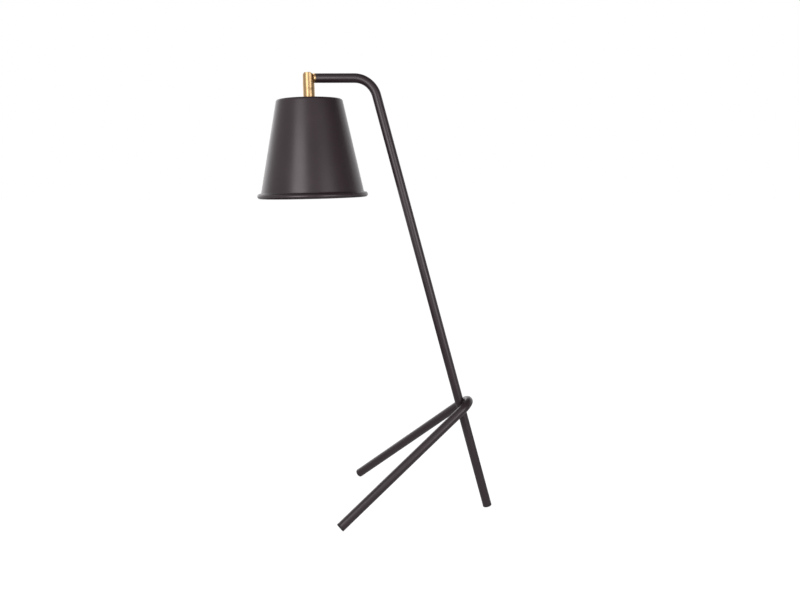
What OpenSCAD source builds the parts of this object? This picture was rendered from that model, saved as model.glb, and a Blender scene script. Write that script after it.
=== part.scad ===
// Tripod table lamp: a leaning pole that bends over into a level arm, a hairpin
// that makes the other two legs, and a cone shade that tilts on a brass swivel.
// Millimetres, +Z up. The origin is the middle of the flat under the pole's foot.
// The shade hangs on the -X side, and the pole and arm lie in the plane y = 0.

/* [Tube] */
// Outside diameter of the pole and of the hairpin
tube_od = 12.7; // [12.3:0.1:13.1]
// Wall of the tube
tube_wall = 1.2; // [1.1:0.05:1.3]
// Depth of the flat that each foot plug rests on
foot_flat = 0.6; // [0.4:0.1:0.8]

/* [Stand] */
// Angle of the pole from upright
lean = 15.7; // [14:0.1:17]
// Height of the arm's centre line over the table
arm_height = 608; // [590:1:630]
// Level distance from the pole's foot to the swivel's pin
pin_reach = 253; // [248:1:262]
// Centre-line radius of the bend between pole and arm
arm_bend = 32; // [28:1:38]
// Level distance from the pole's foot to the hairpin's feet
leg_reach = 196.8; // [190:0.2:204]
// Slope of the hairpin's plane from level
leg_slope = 41.9; // [40:0.1:44]
// Angle of each leg from the hairpin's middle line
leg_splay = 20.6; // [18:0.1:23]
// Centre-line radius of the hairpin's bend
leg_bend = 22.5; // [20:0.5:25]

/* [Swivel] */
// Diameter of the brass barrel
barrel_d = 16; // [15.6:0.1:16.4]
// Height of the pin over the barrel's lower end
swivel_drop = 13.4; // [12.8:0.1:14]
// Angle by which the resting shade leans towards the pole
rest_tilt = 1.7; // [0:0.1:2]

/* [Shade] */
// Height of the pin over the shade's flat top
shade_drop = 28.5; // [27:0.5:31]
// Radius of the cone where it would meet the flat top
shade_top_r = 45.4; // [43:0.2:48]
// Rise of the shade, from its lowest edge to its flat top
shade_height = 134; // [128:0.5:138]
// Slope of the cone's side from upright
cone_angle = 11.67; // [10.5:0.1:12.8]
// Thickness of the spun sheet
sheet = 1; // [0.8:0.1:1.2]
// Outside radius of the rounded shoulder
shoulder_r = 3.5; // [2.5:0.5:5]
// Outside radius of the rolled rim
curl_r = 3.6; // [3.2:0.1:3.8]
// Radius of the cove between the cone and the rim
cove_r = 2; // [1.8:0.1:2.4]

/* [Lampholder] */
// Outside diameter of the lampholder
holder_d = 27.8; // [27:0.2:29]
// Length of the lampholder's cap and body together
holder_length = 52; // [50:1:55]
// Inside radius of the small-cap screw shell
shell_r = 7; // [6.9:0.05:7.1]

/* [Hidden] */
$fn = 96;

// Colours
powder_black = "#37302F";
brass = "#C9A468";
zinc = "#B9BCBE";
plastic_black = "#1E1D1D";
cable_black = "#2A2827";

// Tube
tube_r = tube_od / 2;
bore_r = tube_r - tube_wall;
bend_swell = 0.02;
bend_lap = 0.3;
cap_head = 2;
slack = 0.05;

// Pole and arm: the end of the foot plug, and the corner where the centre lines meet
pole_end = [
    cos(lean) * (tube_r - foot_flat / (2 * sin(lean))),
    0,
    tube_r * sin(lean) - foot_flat
];
corner_s = (arm_height - pole_end.z) / cos(lean);
corner_x = pole_end.x - corner_s * sin(lean);
bend_turn = 90 - lean;
bend_run = arm_bend * tan(bend_turn / 2);
bend_s = corner_s - bend_run;
arm_gap = 11.6;
arm_end_x = arm_gap - pin_reach;

// Hairpin: where its feet end, and how far its bend lies from them to touch the pole
leg_end_z = tube_r * sqrt(1 - pow(sin(leg_slope) * cos(leg_splay), 2)) - foot_flat;
weld_gap = 0.1;
foot_offset = (-leg_reach - pole_end.x) * cos(lean) + (leg_end_z - pole_end.z) * sin(lean);
plane_run = (tube_od + weld_gap - foot_offset) / cos(leg_slope - lean) - leg_bend;
leg_length = (plane_run + leg_bend * sin(leg_splay)) / cos(leg_splay);
weld_r = 4.8;

// Cable inlet in the far side of the pole
inlet_s = 28;
inlet_r = 3.6;
grommet_bore_r = 2.5;
lead_r = 2.1;

// Swivel: distances from the pin
barrel_r = barrel_d / 2;
thread_r = 5;
stud_r = 4;
stud_length = 9;
wire_r = 2.6;
ear_half = 7.25;
ear_top = 7.3;
ear_corner_r = 8.3;
ear_taper = [3.2, 5.2];
ear_gap = 0.3;
shoulder_z = 7.6;
flange_x = 8.7;
chamber_r = 5;
chamber_depth = 2.2;
pin_r = 2;
pin_seat_y = 4.4;
pin_tip_y = 6.5;
pin_head_r = 3.6;
spigot_length = 7;

// Shade: the cone's line, the rim's centre, and what clamps the flat top
curl_h = shade_drop + shade_height - curl_r;
cove_h = curl_h - curl_r - cove_r;
rim_flat = 0.1;
washer_t = 1.2;
washer_h = shade_drop + sheet;
nut_t = 3;
nut_h = washer_h + washer_t;
nut_flats = 14;
shade_hole_r = 5.25;

// Lampholder: distances below the pin
cap_h = nut_h + nut_t;
cap_length = 21.8;
body_h = cap_h + cap_length;
mouth_h = cap_h + holder_length;
holder_r = holder_d / 2;
block_h = body_h - 5;
block_t = 6;
shell_h = block_h + block_t;
shell_length = 24;
shell_wall = 0.4;
terminal_x = 5.5;

function cone_r(h) = shade_top_r + (h - shade_drop) * tan(cone_angle);

// Points along an arc, from angle from to angle to
function arc(centre, r, from, to, steps) = [
    for (i = [0:steps]) let (a = from + (to - from) * i / steps)
        centre + r * [cos(a), sin(a)]
];

// ---------------------------------------------------------------- placing

module at_pole_foot() {
    translate(pole_end) rotate([0, -lean, 0]) children();
}

module at_pin() {
    translate([-pin_reach, 0, arm_height]) children();
}

module at_head() {
    at_pin() rotate([0, -rest_tilt, 0]) children();
}

// Hairpin frame: x runs up the hairpin's middle line, and the bend's centre is its origin
module at_hairpin() {
    translate([-leg_reach, 0, leg_end_z]) rotate([0, -leg_slope, 0])
        translate([plane_run, 0, 0]) children();
}

// Frame of one leg: z runs up the tube from the end of its foot plug; side is 1 or -1
module at_leg(side) {
    at_hairpin() rotate([0, 0, side * (90 - leg_splay)]) translate([leg_bend, 0, 0])
        rotate([side * 90, 0, 0]) translate([0, 0, -leg_length]) children();
}

// A shape drawn in r and z, turned about the head's axis; h is measured down from the pin
module ring(r_out, r_in, h, length) {
    translate([0, 0, -h - length]) difference() {
        cylinder(r = r_out, h = length);
        translate([0, 0, -1]) cylinder(r = r_in, h = length + 2);
    }
}

// ---------------------------------------------------------------- stand

// Bent round bar that starts along +Y at radius bend_r and turns about +Z. It is a hair
// fuller than the straight bars, which lap into both of its ends.
module bent_bar(r, bend_r, turn) {
    rotate_extrude(angle = turn) translate([bend_r, 0]) circle(r = r + bend_swell);
}

// Round bar along the centre line of the pole and arm, from start_s up the pole to end_x
module pole_bar(r, start_s, end_x) {
    at_pole_foot() {
        translate([0, 0, start_s]) cylinder(r = r, h = bend_s + bend_lap - start_s);
        translate([-arm_bend, 0, bend_s]) rotate([90, 0, 0]) {
            bent_bar(r, arm_bend, bend_turn);
            rotate([0, 0, bend_turn]) translate([arm_bend, -bend_lap, 0]) rotate([-90, 0, 0])
                cylinder(r = r, h = corner_x - bend_run - end_x + bend_lap);
        }
    }
}

module pole() {
    color(powder_black) difference() {
        pole_bar(tube_r, cap_head, arm_end_x);
        pole_bar(bore_r, cap_head - 1, arm_end_x - 1);
        at_pole_foot() translate([0, 0, inlet_s]) rotate([-90, 0, 0])
            cylinder(r = inlet_r, h = tube_od);
    }
}

module hairpin_bend(r) {
    at_hairpin() rotate([0, 0, leg_splay - 90]) bent_bar(r, leg_bend, 180 - 2 * leg_splay);
}

module hairpin_bar(r, start_s) {
    hairpin_bend(r);
    for (side = [-1, 1])
        at_leg(side) translate([0, 0, start_s])
            cylinder(r = r, h = leg_length + bend_lap - start_s);
}

module leg_hairpin() {
    color(powder_black) difference() {
        hairpin_bar(tube_r, cap_head);
        hairpin_bar(bore_r, cap_head - 1);
    }
}

// Fillet weld in the gap where the hairpin's bend crosses behind the pole
module weld_bead() {
    color(powder_black) difference() {
        at_hairpin() translate([leg_bend, 0, 0]) rotate([0, leg_slope - lean, 0])
            translate([-(tube_od + weld_gap) / 2, 0, 0]) sphere(r = weld_r);
        at_pole_foot() cylinder(r = tube_r, h = bend_s);
        hairpin_bend(tube_r);
    }
}

// Plug for a tube's end: a rounded head outside, and a stem with two grip rings inside
module foot_plug() {
    edge = 0.6;
    stem_length = 11;
    rotate_extrude() {
        square([tube_r - edge, cap_head]);
        translate([0, edge]) square([tube_r, cap_head - edge]);
        translate([tube_r - edge, edge]) circle(r = edge);
        translate([0, cap_head]) square([bore_r - 0.4, stem_length]);
        for (z = [4, 9])
            translate([bore_r - 0.4, z]) circle(r = 0.4 - slack, $fn = 24);
    }
}

module table_cut() {
    difference() {
        children();
        translate([-300, -200, -10]) cube([350, 400, 10]);
    }
}

module pole_foot_cap() {
    color(plastic_black) table_cut() at_pole_foot() foot_plug();
}

module near_foot_cap() {
    color(plastic_black) table_cut() at_leg(-1) foot_plug();
}

module far_foot_cap() {
    color(plastic_black) table_cut() at_leg(1) foot_plug();
}

// Rubber grommet: its groove holds the tube's wall
module cable_grommet() {
    inner_y = 3;
    outer_y = tube_r + 1.3;
    color(plastic_black) at_pole_foot() translate([0, 0, inlet_s]) difference() {
        union() {
            rotate([-90, 0, 0]) translate([0, 0, inner_y])
                cylinder(r = inlet_r - slack, h = outer_y - inner_y);
            difference() {
                rotate([-90, 0, 0]) translate([0, 0, inner_y])
                    cylinder(r = inlet_r + 1.2, h = outer_y - inner_y);
                translate([0, 0, -tube_od]) difference() {
                    cylinder(r = tube_r + slack / 2, h = 2 * tube_od);
                    translate([0, 0, -1]) cylinder(r = bore_r - slack / 2, h = 2 * tube_od + 2);
                }
            }
        }
        rotate([-90, 0, 0]) cylinder(r = grommet_bore_r, h = tube_od);
    }
}

// Cable inside the pole and arm, up to the swivel's mouth
module pole_lead() {
    color(cable_black) pole_bar(lead_r, inlet_s + 8, flange_x - pin_reach);
}

// ---------------------------------------------------------------- swivel, arm side

module arm_end_bush() {
    bush_length = 12;
    color(zinc) translate([arm_end_x, 0, arm_height]) rotate([0, 90, 0]) difference() {
        cylinder(r = bore_r - slack / 2, h = bush_length);
        translate([0, 0, -1]) cylinder(r = stud_r + slack, h = bush_length + 2);
    }
}

// Round hollow in each ear's flat face, where the wires pass the pin
module wire_chamber(side) {
    rotate([90, 0, 0]) translate([0, 0, side * ear_gap - (1 - side) / 2 * chamber_depth])
        cylinder(r = chamber_r, h = chamber_depth);
}

module swivel_arm_half() {
    color(brass) at_pin() difference() {
        union() {
            intersection() {
                translate([-tube_r, 0, 0]) rotate([0, 90, 0])
                    cylinder(r = tube_r, h = tube_r + flange_x);
                translate([-tube_od, ear_gap, -tube_od]) cube([2 * tube_od, tube_od, 2 * tube_od]);
                rotate([90, 0, 0]) translate([0, 0, -tube_od]) linear_extrude(tube_od) {
                    circle(r = tube_r);
                    translate([0, -tube_r]) square([tube_od, tube_od]);
                }
            }
            translate([flange_x, 0, 0]) rotate([0, 90, 0])
                cylinder(r = tube_r, h = arm_gap - flange_x);
            translate([arm_gap, 0, 0]) rotate([0, 90, 0]) cylinder(r = stud_r, h = stud_length);
        }
        rotate([0, 90, 0]) cylinder(r = wire_r, h = arm_gap + stud_length + 1);
        wire_chamber(-1);
        rotate([-90, 0, 0]) cylinder(r = pin_r + slack, h = tube_od);
        translate([0, pin_seat_y, 0]) rotate([-90, 0, 0])
            cylinder(r = pin_head_r + 0.4, h = tube_od);
    }
}

// Thin ring between the two ears, round the wire chamber
module friction_washer() {
    color(zinc) at_pin() rotate([90, 0, 0]) difference() {
        cylinder(r = tube_r - 0.1, h = 2 * (ear_gap - slack), center = true);
        cylinder(r = chamber_r + 0.1, h = 2, center = true);
    }
}

// ---------------------------------------------------------------- swivel, shade side

// Front of the shade-side ear: squared disc above, running out into the full barrel below
module ear_outline() {
    intersection() {
        circle(r = ear_corner_r);
        translate([-ear_half, -ear_half]) square([2 * ear_half, ear_half + ear_top]);
    }
    polygon([
        [-ear_half, -ear_taper[0]], [ear_half, -ear_taper[0]], [barrel_r, -ear_taper[1]],
        [barrel_r, -swivel_drop], [-barrel_r, -swivel_drop], [-barrel_r, -ear_taper[1]]
    ]);
}

module swivel_shade_half() {
    color(brass) at_head() difference() {
        union() {
            translate([0, 0, -swivel_drop]) cylinder(r = barrel_r, h = swivel_drop - shoulder_z);
            intersection() {
                translate([0, 0, -swivel_drop]) cylinder(r = barrel_r, h = swivel_drop + barrel_r);
                rotate([90, 0, 0]) translate([0, 0, ear_gap]) linear_extrude(barrel_d)
                    ear_outline();
            }
            ring(thread_r - slack, wire_r, swivel_drop, spigot_length);
        }
        translate([0, 0, -swivel_drop - spigot_length - 1])
            cylinder(r = wire_r, h = swivel_drop + spigot_length + 1);
        wire_chamber(1);
        rotate([90, 0, 0]) cylinder(r = pin_r + slack / 2, h = pin_tip_y + 0.3);
    }
}

// Hinge pin: its thread grips the front ear, and the rear ear turns on its shank
module swivel_screw() {
    head_t = 2;
    washer_top = pin_seat_y + 0.6;
    color(zinc) at_head() rotate([-90, 0, 0]) difference() {
        union() {
            translate([0, 0, -pin_tip_y]) cylinder(r = pin_r, h = pin_tip_y + washer_top);
            translate([0, 0, washer_top]) cylinder(r = pin_head_r, h = head_t);
        }
        translate([-pin_head_r - 1, -0.5, washer_top + head_t - 1])
            cube([2 * pin_head_r + 2, 1, 2]);
    }
}

// Spring washer under the screw's head
module spring_washer() {
    color(zinc) at_head() rotate([-90, 0, 0]) translate([0, 0, pin_seat_y + slack]) difference() {
        cylinder(r = pin_head_r - 0.2, h = 0.6 - slack);
        translate([0, 0, -1]) cylinder(r = pin_r + slack, h = 3);
    }
}

// Plain sleeve that carries the barrel down to the shade
module barrel_coupler() {
    color(brass) at_head() ring(barrel_r, thread_r, swivel_drop, shade_drop - swivel_drop);
}

module threaded_nipple() {
    nipple_h = swivel_drop + spigot_length;
    nipple_bore_r = 3.6;
    color(zinc) at_head() ring(thread_r - slack, nipple_bore_r, nipple_h, cap_h + 7 - nipple_h);
}

// ---------------------------------------------------------------- shade

// The sheet's section in r and z: flat top, rounded shoulder, straight cone, a cove that
// turns the sheet outwards, and a rim that rolls down, under and back up inside
module shade_section() {
    edge_angle = -210;
    cone_side = 180 + cone_angle;
    shoulder = [
        shade_top_r - shoulder_r * (1 - sin(cone_angle)) / cos(cone_angle),
        -shade_drop - shoulder_r
    ];
    cove = [cone_r(cove_h) + cove_r / cos(cone_angle), -cove_h];
    curl = [cove.x + rim_flat, -curl_h];
    polygon(concat(
        [[shade_hole_r, -shade_drop]],
        arc(shoulder, shoulder_r, 90, cone_angle, 8),
        arc(cove, cove_r, cone_side, 270, 7),
        arc(curl, curl_r, 90, edge_angle, 26),
        arc(curl, curl_r - sheet, edge_angle, 90, 26),
        arc(cove, cove_r + sheet, 270, cone_side, 7),
        arc(shoulder, shoulder_r - sheet, cone_angle, 90, 8),
        [[shade_hole_r, -shade_drop - sheet]]
    ));
}

module shade() {
    color(powder_black) at_head() rotate_extrude() shade_section();
}

module shade_washer() {
    color(zinc) at_head() ring(11, shade_hole_r, washer_h, washer_t);
}

module lock_nut() {
    color(zinc) at_head() translate([0, 0, -nut_h - nut_t]) difference() {
        cylinder(r = nut_flats / sqrt(3), h = nut_t, $fn = 6);
        translate([0, 0, -1]) cylinder(r = thread_r, h = nut_t + 2);
    }
}

// ---------------------------------------------------------------- lampholder

// Half section of the cap's bell: a threaded neck that swells into the skirt
module bell_section(neck_r, skirt_r, h) {
    neck_length = 6;
    bell_length = 10;
    swell = [for (a = [0:10:90]) [
        neck_r + (skirt_r - neck_r) * sin(a),
        -h - neck_length - bell_length * (1 - cos(a))
    ]];
    polygon(concat([[0, -h], [neck_r, -h]], swell, [[skirt_r, -body_h], [0, -body_h]]));
}

module lampholder_cap() {
    wall = 1.7;
    color(plastic_black) at_head() difference() {
        rotate_extrude() bell_section(7.8, holder_r, cap_h);
        rotate_extrude() intersection() {
            bell_section(7.8 - wall, holder_r - wall, cap_h + wall);
            translate([0, -body_h - 1]) square([holder_r, body_h - cap_h - 6]);
        }
        translate([0, 0, -body_h]) cylinder(r = thread_r, h = cap_length + 1);
        translate([0, 0, -cap_h - 3.5]) rotate([90, 0, 0]) cylinder(r = 1.5, h = holder_r);
    }
}

module cap_lock_screw() {
    color(zinc) at_head() translate([0, -thread_r, -cap_h - 3.5]) rotate([90, 0, 0])
        cylinder(r = 1.5 - slack, h = 2.6);
}

// Sleeve with a ledge inside that carries the contact block, and a spigot inside the cap
module lampholder_body() {
    wall = 1.7;
    ledge_t = 2.5;
    throat_r = 9.4;
    color(plastic_black) at_head() difference() {
        union() {
            ring(holder_r, throat_r, body_h, holder_length - cap_length);
            ring(holder_r - wall - slack, throat_r, block_h, body_h - block_h + 1);
        }
        translate([0, 0, -shell_h]) cylinder(r = 10.6, h = block_t + 1);
    }
    color(plastic_black) at_head() ring(10.6, shell_r + shell_wall + 0.3, shell_h, ledge_t);
}

module contact_block() {
    color("#E6E2DA") at_head() difference() {
        translate([0, 0, -shell_h]) cylinder(r = 10.5, h = block_t);
        for (side = [-1, 1]) {
            translate([side * terminal_x, -1.5, -block_h - 5]) cylinder(r = 1.5, h = 6);
            translate([side * terminal_x, 4, -block_h - 4]) cylinder(r = 1.1, h = 5);
        }
    }
}

// Screw shell for a small bulb cap: a threaded length, a neck drawn in above it, and the lip
// that hangs it from the block
module screw_shell() {
    lip_t = 0.5;
    neck_t = 3.6;
    color(brass) at_head() {
        ring(shell_r + shell_wall, shell_r, shell_h, shell_length);
        ring(shell_r + shell_wall, shell_r - 0.6, shell_h, neck_t);
        ring(shell_r + shell_wall, 5, shell_h, lip_t);
    }
}

// Spring tongue that presses on the bulb's tip
module centre_contact() {
    tongue_w = 4;
    color(brass) at_head() translate([0, tongue_w / 2, -shell_h]) rotate([90, 0, 0])
        linear_extrude(tongue_w) polygon([
            [-4.2, 0], [1, 0], [3.6, -2.6], [4.1, -2.4], [3.7, -3.2], [0.8, -0.5], [-4.2, -0.5]
        ]);
}

module terminal_screws() {
    color(zinc) at_head() for (side = [-1, 1])
        translate([side * terminal_x, -1.5, -block_h]) {
            translate([0, 0, -4.5]) cylinder(r = 1.5 - slack, h = 4.5);
            difference() {
                cylinder(r = 2.5, h = 1.8);
                translate([-3, -0.35, 1.1]) cube([6, 0.7, 1]);
            }
        }
}

// Cable inside the barrel and nipple, and its two cores to the terminals; a ball joins
// the straight runs of each core
module head_lead() {
    core_r = 0.8;
    ball_r = 0.9;
    split_h = cap_h + 8;
    end_h = block_h - 1;
    spread = [terminal_x - 1, 4, end_h - split_h];
    color(cable_black) at_head() {
        translate([0, 0, -split_h]) cylinder(r = lead_r, h = split_h - shoulder_z);
        for (side = [-1, 1]) {
            translate([side, 0, -split_h]) {
                sphere(r = ball_r);
                rotate([0, 0, atan2(spread.y, side * spread.x)])
                    rotate([0, 180 - atan2(norm([spread.x, spread.y]), spread.z), 0])
                        cylinder(r = core_r, h = norm(spread));
            }
            translate([side * terminal_x, spread.y, -end_h]) {
                sphere(r = ball_r);
                translate([0, 0, -4.5]) cylinder(r = core_r, h = 4.5);
            }
        }
    }
}

pole();
leg_hairpin();
weld_bead();
pole_foot_cap();
near_foot_cap();
far_foot_cap();
cable_grommet();
pole_lead();
arm_end_bush();
swivel_arm_half();
friction_washer();
swivel_shade_half();
swivel_screw();
spring_washer();
barrel_coupler();
threaded_nipple();
shade();
shade_washer();
lock_nut();
lampholder_cap();
cap_lock_screw();
lampholder_body();
contact_block();
screw_shell();
centre_contact();
terminal_screws();
head_lead();
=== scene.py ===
# Looks of the tripod table lamp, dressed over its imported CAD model
import math
import bmesh
import bpy
import numpy as np
from mathutils import Matrix, Vector


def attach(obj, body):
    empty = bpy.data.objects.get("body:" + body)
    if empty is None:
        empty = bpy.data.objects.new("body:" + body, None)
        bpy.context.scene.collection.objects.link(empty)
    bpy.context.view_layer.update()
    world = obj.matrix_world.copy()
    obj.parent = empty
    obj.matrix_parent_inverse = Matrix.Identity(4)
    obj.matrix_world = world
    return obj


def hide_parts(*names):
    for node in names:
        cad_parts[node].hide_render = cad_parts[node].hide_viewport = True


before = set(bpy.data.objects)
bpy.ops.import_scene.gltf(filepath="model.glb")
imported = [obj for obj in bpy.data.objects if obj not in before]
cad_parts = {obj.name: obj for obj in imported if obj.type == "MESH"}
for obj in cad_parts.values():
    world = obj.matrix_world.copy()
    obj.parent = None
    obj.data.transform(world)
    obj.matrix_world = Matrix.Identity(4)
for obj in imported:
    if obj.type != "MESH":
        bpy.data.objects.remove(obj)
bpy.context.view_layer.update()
scene = bpy.context.scene
mm = 0.001
print("frame loaded,", len(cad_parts), "nodes")

# Camera, at the photo's viewing angle: pixels in a frame of 800 by 600, millimetres, degrees
camera = {"focalPixels": 805.203, "place": (-38.61, -1123.31, 479.92), "pitchDown": 8.931,
          "yaw": -4.404, "roll": -0.391}
frameWidth, sensorWidth = 800, 36
pitch, yaw, roll = (math.radians(camera[k]) for k in ("pitchDown", "yaw", "roll"))
ahead = Vector((math.sin(yaw) * math.cos(pitch), math.cos(yaw) * math.cos(pitch), -math.sin(pitch)))
level = Vector((math.cos(yaw), -math.sin(yaw), 0))
below = ahead.cross(level)
toRight = level * math.cos(roll) + below * math.sin(roll)
toBottom = below * math.cos(roll) - level * math.sin(roll)
cameraData = bpy.data.cameras.new("photoCamera")
cameraData.sensor_width = sensorWidth
cameraData.lens = camera["focalPixels"] * sensorWidth / frameWidth
cameraData.clip_start, cameraData.clip_end = 0.05, 60  # metres
cameraObject = bpy.data.objects.new("photoCamera", cameraData)
scene.collection.objects.link(cameraObject)
turn = Matrix((toRight, -toBottom, -ahead)).transposed().to_4x4()
cameraObject.matrix_world = Matrix.Translation([c * mm for c in camera["place"]]) @ turn
scene.camera = cameraObject
scene.view_settings.view_transform = "Standard"
print("camera placed")


# A colour written as sRGB hex, as linear red, green, blue and alpha 1
def linear(hexCode):
    parts = [int(hexCode[i:i + 2], 16) / 255 for i in (1, 3, 5)]
    return tuple(c / 12.92 if c <= 0.04045 else ((c + 0.055) / 1.055) ** 2.4 for c in parts) + (1,)


# Adds a node: a name that is the node's own setting is set, inN is its Nth input, and any other
# name is an input, with _ for a space. A socket given as the value is linked.
def addNode(tree, kind, **given):
    node = tree.nodes.new(kind)
    for key, value in given.items():
        if key[:2] == "in" and key[2:].isdigit():
            target = node.inputs[int(key[2:])]
        elif key in node.bl_rna.properties:
            setattr(node, key, value)
            continue
        else:
            target = node.inputs[key.replace("_", " ")]
        if isinstance(value, bpy.types.NodeSocket):
            tree.links.new(value, target)
        else:
            target.default_value = value
    return node


# An empty material, its node tree, and its coordinates
def newMaterial(name):
    material = bpy.data.materials.new(name)
    material.use_nodes = True
    material.node_tree.nodes.clear()
    where = material.node_tree.nodes.new("ShaderNodeTexCoord")
    return material, material.node_tree, where


# Links the shader to the material's output
def finishMaterial(tree, shader):
    addNode(tree, "ShaderNodeOutputMaterial", Surface=shader.outputs[0])


# Polyester powder coat, sprayed and baked: nearly black with a warm, slightly purple cast, satin,
# with a soft orange-peel ripple that softens reflections and a faint grain of pigment
powderCoat = {"colour": "#271D22", "paler": "#302429", "roughness": 0.34, "spread": 0.04,
              "rippleSize": 2.4 * mm, "rippleHeight": 0.008 * mm, "grainSize": 0.7 * mm,
              "grainHeight": 0.004 * mm, "patchSize": 45 * mm, "ior": 1.55,
              "cast": (1.0, 0.93, 0.945, 1.0)}


def powderCoated(name, look):
    material, tree, where = newMaterial(name)
    ripple = addNode(tree, "ShaderNodeTexNoise", Vector=where.outputs["Object"],
                     Scale=1 / look["rippleSize"], Detail=2.0)
    grain = addNode(tree, "ShaderNodeTexNoise", Vector=where.outputs["Object"],
                    Scale=1 / look["grainSize"], Detail=1.0)  # drawn coarser than real grain, to show
    patches = addNode(tree, "ShaderNodeTexNoise", Vector=where.outputs["Object"],
                      Scale=1 / look["patchSize"], Detail=3.0)
    colour = addNode(tree, "ShaderNodeMix", data_type="RGBA", in0=patches.outputs[0],
                     in6=linear(look["colour"]), in7=linear(look["paler"]))
    rough = addNode(tree, "ShaderNodeMapRange", in0=patches.outputs[0], in1=0.2, in2=0.8,
                    in3=look["roughness"] - look["spread"], in4=look["roughness"] + look["spread"])
    coarse = addNode(tree, "ShaderNodeBump", Height=ripple.outputs[0], Strength=1.0,
                     Distance=look["rippleHeight"])
    fine = addNode(tree, "ShaderNodeBump", Height=grain.outputs[0], Strength=1.0,
                   Distance=look["grainHeight"], Normal=coarse.outputs[0])
    finishMaterial(tree, addNode(tree, "ShaderNodeBsdfPrincipled", Base_Color=colour.outputs[2],
                                 Roughness=rough.outputs[0], IOR=look["ior"],
                                 Specular_Tint=look["cast"], Normal=fine.outputs[0]))
    return material


coatedSteel = powderCoated("powderCoatedSteel", powderCoat)
coatedAluminium = powderCoated("powderCoatedAluminium", powderCoat)

# White reflector paint inside the shade, a guess: satin, slightly warm, with a thin spray texture
reflector = {"colour": "#E6E3DC", "paler": "#EFEDE8", "sprayGrain": 1.4 * mm, "depth": 0.01 * mm,
             "patchSize": 55 * mm, "roughness": 0.42, "ior": 1.5}
whitePaint, tree, where = newMaterial("reflectorPaint")
spray = addNode(tree, "ShaderNodeTexNoise", Vector=where.outputs["Object"],
                Scale=1 / reflector["sprayGrain"], Detail=2.0)
tone = addNode(tree, "ShaderNodeTexNoise", Vector=where.outputs["Object"],
               Scale=1 / reflector["patchSize"], Detail=2.0)
colour = addNode(tree, "ShaderNodeMix", data_type="RGBA", in0=tone.outputs[0],
                 in6=linear(reflector["colour"]), in7=linear(reflector["paler"]))
bump = addNode(tree, "ShaderNodeBump", Height=spray.outputs[0], Strength=1.0,
               Distance=reflector["depth"])
finishMaterial(tree, addNode(tree, "ShaderNodeBsdfPrincipled", Base_Color=colour.outputs[2],
                             Roughness=reflector["roughness"], IOR=reflector["ior"],
                             Normal=bump.outputs[0]))

# Lacquered satin brass, turned on a lathe: a warm yellow metal, with fine rings across the turning
# axis that spread highlights along the barrel. "turning" is each point's distance along that axis.
brass = {"colour": "#BD9F76", "deeper": "#B1916A", "roughness": 0.34, "spread": 0.02,
         "ringPitch": 0.5 * mm, "ringDepth": 0.0004 * mm, "cloudSize": 4 * mm}
satinBrass, tree, where = newMaterial("satinBrass")
turning = addNode(tree, "ShaderNodeAttribute", attribute_name="turning")
ringPlace = addNode(tree, "ShaderNodeMath", operation="DIVIDE", in0=turning.outputs["Fac"],
                    in1=brass["ringPitch"])  # rings are drawn coarser than real ones, to show
rings = addNode(tree, "ShaderNodeTexNoise", noise_dimensions="1D", W=ringPlace.outputs[0],
                Scale=1.0, Detail=2.0)
cloud = addNode(tree, "ShaderNodeTexNoise", Vector=where.outputs["Object"],
                Scale=1 / brass["cloudSize"], Detail=2.0)
colour = addNode(tree, "ShaderNodeMix", data_type="RGBA", in0=cloud.outputs[0],
                 in6=linear(brass["deeper"]), in7=linear(brass["colour"]))
rough = addNode(tree, "ShaderNodeMapRange", in0=rings.outputs[0], in1=0.3, in2=0.7,
                in3=brass["roughness"] - brass["spread"], in4=brass["roughness"] + brass["spread"])
bump = addNode(tree, "ShaderNodeBump", Height=rings.outputs[0], Strength=1.0,
               Distance=brass["ringDepth"])
finishMaterial(tree, addNode(tree, "ShaderNodeBsdfPrincipled", Base_Color=colour.outputs[2],
                             Metallic=1.0, Roughness=rough.outputs[0], Normal=bump.outputs[0]))


# A plated or rolled metal: two close tones in cloudy patches, and a fine rolled grain
metalSkin = {"cloudsPerMetre": 300.0, "smoother": 0.06, "rougher": 0.08, "grainDepth": 0.004 * mm}


def plainMetal(name, pale, dark, roughness, grain):
    material, tree, where = newMaterial(name)
    cloud = addNode(tree, "ShaderNodeTexNoise", Vector=where.outputs["Object"],
                    Scale=metalSkin["cloudsPerMetre"], Detail=4.0)
    lines = addNode(tree, "ShaderNodeTexNoise", Vector=where.outputs["Object"], Scale=1 / grain,
                    Detail=2.0)
    colour = addNode(tree, "ShaderNodeMix", data_type="RGBA", in0=cloud.outputs[0],
                     in6=linear(dark), in7=linear(pale))
    rough = addNode(tree, "ShaderNodeMapRange", in0=cloud.outputs[0], in1=0.3, in2=0.7,
                    in3=roughness - metalSkin["smoother"], in4=roughness + metalSkin["rougher"])
    bump = addNode(tree, "ShaderNodeBump", Height=lines.outputs[0], Strength=1.0,
                   Distance=metalSkin["grainDepth"])
    finishMaterial(tree, addNode(tree, "ShaderNodeBsdfPrincipled", Base_Color=colour.outputs[2],
                                 Metallic=1.0, Roughness=rough.outputs[0], Normal=bump.outputs[0]))
    return material


# Bright zinc plate on pressed and turned steel: pale grey with a cloudy, slightly dull shine
zincPlate = plainMetal("zincPlatedSteel", "#C6C9CB", "#A9ADB0", 0.34, 0.4 * mm)
# Thin rolled brass sheet of the screw shell and contact: paler and brighter than the barrel
rolledBrass = plainMetal("rolledBrass", "#DCC084", "#C4A362", 0.28, 0.5 * mm)


# A moulded or cast dull material: an even tone with slight clouds, and a fine skin texture
mouldedSkin = {"cloudsPerMetre": 90.0, "ior": 1.5}


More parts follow.
